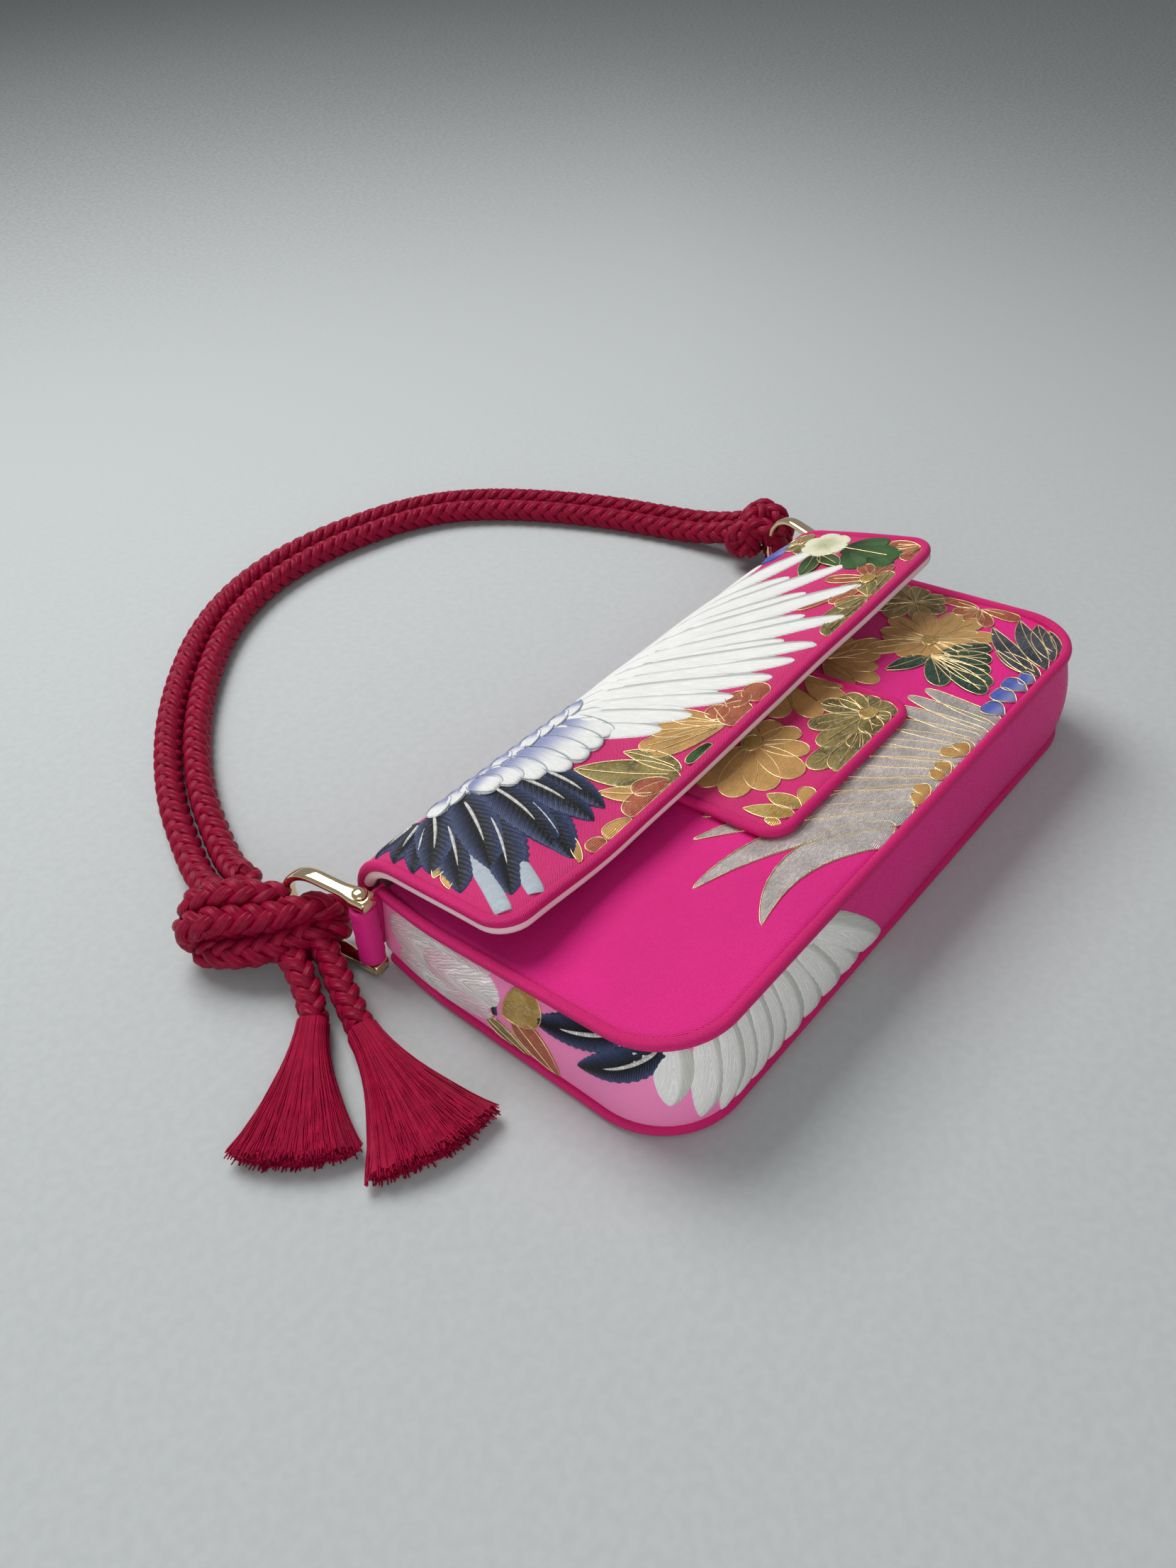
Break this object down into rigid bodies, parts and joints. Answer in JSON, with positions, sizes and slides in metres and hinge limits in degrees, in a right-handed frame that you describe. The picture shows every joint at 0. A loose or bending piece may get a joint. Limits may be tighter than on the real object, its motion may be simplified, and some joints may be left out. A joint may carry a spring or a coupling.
{
  "type": "baguette bag",
  "caption": "Small long shoulder bag with a piped flap and magnetic tab, and a doubled rope strap knotted to its end rings with tasselled ends.",
  "frame": {"origin": "centre of the back panel, on the surface the bag lies on", "axes": "+X along the bag's length, +Y from its bottom to its mouth, +Z out of its front, away from the surface it lies on"},
  "size_m": [0.3772, 0.3497, 0.0586],
  "materials": {
    "satin": "glossy magenta satin",
    "pale_satin": "glossy pale pink satin",
    "lining": "matt pale pink cloth",
    "board": "matt fibreboard",
    "piping": "satin over cord",
    "magnet": "plated",
    "gold": "polished pale gold plating",
    "rope": "braided crimson rayon",
    "tassel": "loose crimson silk"
  },
  "bodies": {
    "bag": {"back_panel": "satin", "back_stiffener": "board", "back_lining": "lining", "gusset": "pale_satin", "gusset_stiffener": "board", "gusset_lining": "lining", "front_panel": "satin", "front_stiffener": "board", "front_lining": "lining", "front_piping": "piping", "back_piping": "piping", "front_magnet": "magnet", "left_loop_tab": "satin", "right_loop_tab": "satin"},
    "flap_turn": {"flap_turn": "satin", "flap_turn_stiffener": "board", "flap_turn_lining": "lining", "flap_turn_piping_left": "piping", "flap_turn_piping_right": "piping"},
    "flap": {"flap": "satin", "flap_stiffener": "board", "flap_lining": "lining", "flap_piping": "piping"},
    "tab": {"tab": "satin", "tab_stiffener": "board", "tab_lining": "lining", "tab_piping": "piping", "tab_magnet": "magnet"},
    "strap": {"left_ring": "gold", "right_ring": "gold", "left_pin": "gold", "right_pin": "gold", "left_pin_loop": "satin", "right_pin_loop": "satin", "strap_rope_outer": "rope", "strap_rope_inner": "rope", "left_knot": "rope", "right_hitch": "rope"},
    "tassels": {"left_tail": "rope", "right_tail": "rope", "left_tassel": "tassel", "right_tassel": "tassel"}
  },
  "joints": [
    {"name": "flap_hinge", "type": "hinge", "parent": "bag", "child": "flap_turn", "pos_m": [0, 0.07007, 0.0113], "axis": [-1, 0, 0], "range_deg": [0, 75]},
    {"name": "flap_fold", "type": "hinge", "parent": "flap_turn", "child": "flap", "pos_m": [0, 0.05823, 0.04384], "axis": [-1, 0, 0], "range_deg": [0, 100]},
    {"name": "tab_flex", "type": "hinge", "parent": "flap", "child": "tab", "pos_m": [0.0045, 0.028, 0.0416], "axis": [-1, 0, 0], "range_deg": [0, 10]},
    {"name": "strap_lift", "type": "hinge", "parent": "bag", "child": "strap", "pos_m": [0, 0.0605, 0.0175], "axis": [1, 0, 0], "range_deg": [0, 110]},
    {"name": "tassel_fold", "type": "hinge", "parent": "strap", "child": "tassels", "pos_m": [-0.152, 0.068, 0.0104], "axis": [1, 0, 0], "range_deg": [-98, 0]}
  ],
  "couplings": [
    {"joint": "tassel_fold", "follows": "strap_lift", "ratio": -0.888}
  ]
}
